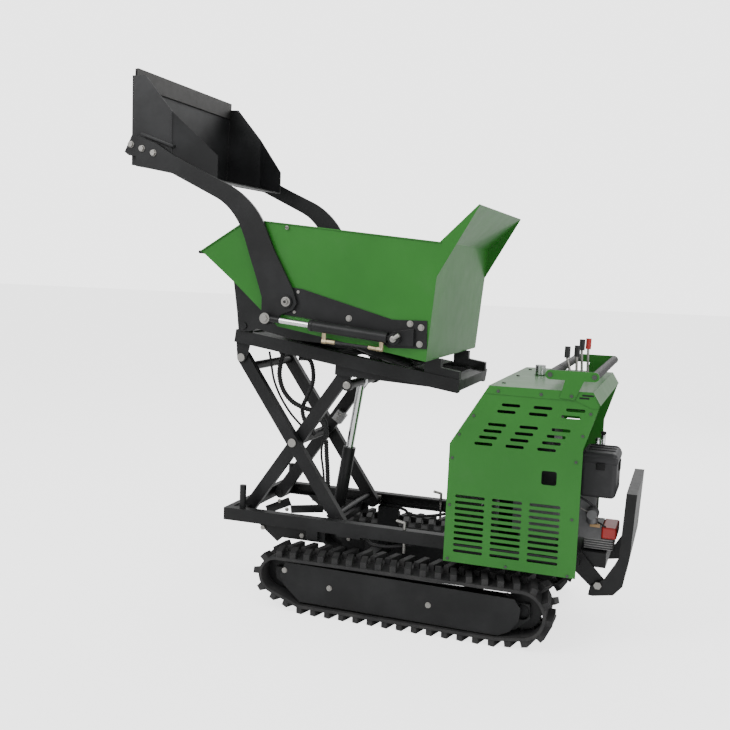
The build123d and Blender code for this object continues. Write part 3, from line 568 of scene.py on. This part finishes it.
GRIP_RED = plastic("red grip", (0.48, 0.018, 0.015), 0.30, coat=0.4)
GRIP_BLACK = plastic("black grip", (0.014, 0.014, 0.015), 0.35)
GRIP_LENGTH = 0.0435
LEVER_GRIPS = {"lever_1": GRIP_BLACK, "lever_2": GRIP_BLACK, "lever_3": GRIP_BLACK, "lever_4": GRIP_RED}

paint(BLACK, "control_valve")
paint(GREEN, "grab_bar_plates")
paint(grip_foam(), "grab_bars")
for name, grip in LEVER_GRIPS.items():
    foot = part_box(name)[1][2] - GRIP_LENGTH
    paint(ZINC, name)
    split_paint(name, grip, lambda c, n: c.z > foot)


# ---------------------------------------------------------------- engine
# A cast single-cylinder engine with cooling fins, a black plastic air cleaner and fuel tank, a
# stained steel muffler and a red starter cover. The small parts hang below the cleaner.
def block(name, low, high, material, body, bevel, segments=3):
    """A box between two corners, with rounded edges."""
    return boxed(name, np.array(low) + CORNERS * np.subtract(high, low), material, body, bevel, segments)


CAST = cast("engine casting", (0.20, 0.20, 0.205))
ENGINE_BLACK = plastic("engine cover plastic", (0.018, 0.018, 0.020), 0.38)
TAN = plastic("tan gasket", (0.38, 0.24, 0.11), 0.5)
MUFFLER = metal("muffler steel", (0.45, 0.43, 0.40), 0.32, spots=0.7, dull=(0.16, 0.10, 0.06))
EXHAUST_PIPES = ((-1080, 756), (-1101, 776))        # place along the machine and top
RIBS, RIB_FIRST, RIB_PITCH = 3, 90, 50
FIN_COUNT, FIN_FIRST, FIN_PITCH = 5, 358, 9

paint(CAST, "engine_block")
paint(ENGINE_BLACK, "air_cleaner", "fuel_cap", "fuel_tank")
paint(MUFFLER, "muffler")
paint(GRIP_RED, "recoil_starter")
for k, (x, top) in enumerate(EXHAUST_PIPES):
    tube(f"exhaust_pipe_{k}", [at(x, 60, 690), at(x, 60, 730), at(x, 60, top)], 0.0085, CHROME, "chassis", 20)
lathe("exhaust_cap", [(0.0105, 0), (0.0105, 0.008), (0.006, 0.010)], at(-1101, 60, 774), (0, 0, 1), HOSE, "chassis")
block("cleaner_lid", at(-1175, 57, 690), at(-1043, 263, 722), ENGINE_BLACK, "chassis", 0.012, 4)
for k in range(RIBS):
    y = RIB_FIRST + RIB_PITCH * k
    block(f"cleaner_rib_{k}", at(-1160, y, 730), at(-1060, y + 14, 738), ENGINE_BLACK, "chassis", 0.003)
block("cleaner_latch", at(-1130, 262, 672), at(-1098, 267, 698), DARK, "chassis", 0.002)
block("cleaner_latch_rear", at(-1178, 140, 660), at(-1171, 180, 700), DARK, "chassis", 0.002)
for k in range(FIN_COUNT):
    z = FIN_FIRST + FIN_PITCH * k
    block(f"fin_{k}", at(-1170, 58, z), at(-1064, 202, z + 4), FINS, "chassis", 0.001)
lathe("carburettor", [(0.020, 0), (0.024, 0.006), (0.024, 0.030), (0.018, 0.036), (0.018, 0.055)],
      at(-1092, 205, 500), (0, 1, 0), CAST, "chassis")
lathe("carburettor_bowl", [(0.012, 0), (0.020, 0.006), (0.021, 0.026), (0.014, 0.034)], at(-1092, 228, 492),
      (0, 0, -1), CAST, "chassis")
block("carburettor_gasket", at(-1122, 224, 452), at(-1086, 246, 462), TAN, "chassis", 0.002)
for name, radius, material, sides, samples, places in (
        ("throttle_link", 0.002, ZINC, 8, 24,
         ((-1050, 250, 520), (-1070, 252, 512), (-1098, 252, 508), (-1112, 246, 486))),
        ("fuel_line", 0.004, HOSE, 10, 30,
         ((-1040, 240, 560), (-1072, 248, 548), (-1090, 236, 530), (-1094, 222, 512))),
        ("spark_lead", 0.0035, HOSE, 10, 30,
         ((-1040, 120, 460), (-1080, 170, 462), (-1128, 206, 455), (-1150, 190, 430)))):
    tube(name, smooth_path([at(*place) for place in places], samples), radius, material, "chassis", sides)


# ---------------------------------------------------------------- platform
# A black painted steel plate on two plated pins that folds down for the operator to stand on.
# Its standing face, which looks forward while it is up, has raised ribs worn pale.
def tread_plate():
    """Black painted standing surface with raised ribs, worn paler on the ribs."""
    m = Mat("tread plate")
    ribs = m.node("ShaderNodeTexWave", "Fac", {"Vector": m.point, "Scale": 28.0, "Distortion": 0.0},
                  bands_direction="DIAGONAL").step(0.55, 0.75)
    base = m.mix(ribs * m.noise(30.0, 6).step(0.4, 0.7) * 0.4, (0.016, 0.016, 0.018), (0.12, 0.118, 0.11))
    return m.finish(base, m.noise(25.0, 5) * 0.2 + 0.38, bump=ribs, bump_distance=0.001, bump_strength=0.6)


PLATE_FRONT = -0.97             # the standing face lies behind this

paint(BLACK, "platform")
paint(ZINC, "platform_pins")
split_paint("platform", tread_plate(), lambda c, n: n.x > 0.9 and c.x < PLATE_FRONT)


# ---------------------------------------------------------------- floor, light and camera
# A pale studio floor and sky that look brighter to the camera than they light the machine,
# and three soft lights: key and fill on the near side, and one behind.
def studio_floor():
    """Matt white that also glows where the camera looks at it directly."""
    m = Mat("studio floor")
    glow = m.mix(m.node("ShaderNodeLightPath", "Is Camera Ray"), (0.0, 0.0, 0.0), (1.0, 1.0, 1.0))
    m.link(glow, m.shader.inputs["Emission Color"])
    m.shader.inputs["Emission Strength"].default_value = 2.1
    return m.finish((0.90, 0.90, 0.90), 0.9, round_edges=0, specular=0.1)


def area_light(name, place, target, size, power):
    data = bpy.data.lights.new(name, "AREA")
    data.shape = "RECTANGLE"
    data.size, data.size_y = size
    data.energy = power
    obj = bpy.data.objects.new(name, data)
    obj.location = place
    obj.rotation_euler = (Vector(target) - Vector(place)).to_track_quat("-Z", "Y").to_euler()
    bpy.context.scene.collection.objects.link(obj)


FLOOR_HALF = 40
LIT, SEEN = 0.75, 3.2           # the sky's strength on the machine, and to the camera

floor = new_mesh("floor", np.array([(-1, -1, 0), (1, -1, 0), (1, 1, 0), (-1, 1, 0)]) * FLOOR_HALF, [(0, 1, 2, 3)],
                 [False], studio_floor(), None)
world = bpy.context.scene.world or bpy.data.worlds.new("world")
bpy.context.scene.world = world
world.use_nodes = True
sky = Nodes(world.node_tree)
background = world.node_tree.nodes["Background"]
background.inputs["Color"].default_value = (1.0, 1.0, 1.0, 1.0)
camera_ray = sky.node("ShaderNodeLightPath", "Is Camera Ray")
sky.link(sky.node("ShaderNodeMapRange", "Result", {"Value": camera_ray, "To Min": LIT, "To Max": SEEN}),
         background.inputs["Strength"])

area_light("key", (2.5, 4.0, 4.5), (0, 0, 1.0), (3.0, 3.0), 160.0)
area_light("fill", (-4.0, 3.0, 2.5), (0, 0, 1.0), (3.0, 3.0), 60.0)
area_light("back", (-1.0, -4.0, 4.0), (0, 0, 1.2), (4.0, 2.0), 90.0)

CAMERA_PLACE = (-1.190, 3.697, 1.361)
camera_data = bpy.data.cameras.new("camera")
camera_data.lens = 45.6
camera_data.sensor_width = 36.0
camera = bpy.data.objects.new("camera", camera_data)
bpy.context.scene.collection.objects.link(camera)
bpy.context.scene.camera = camera
turn, rise, roll = math.radians(199.5), math.radians(5.7), math.radians(2.0)
back = Vector((math.sin(turn) * math.cos(rise), -math.cos(turn) * math.cos(rise), math.sin(rise)))
right = Vector((0, 0, 1)).cross(back).normalized()
up = back.cross(right)
tilt_right = right * math.cos(roll) + up * math.sin(roll)
tilt_up = up * math.cos(roll) - right * math.sin(roll)
camera.matrix_world = Matrix.Translation(CAMERA_PLACE) @ Matrix((tilt_right, tilt_up, back)).transposed().to_4x4()
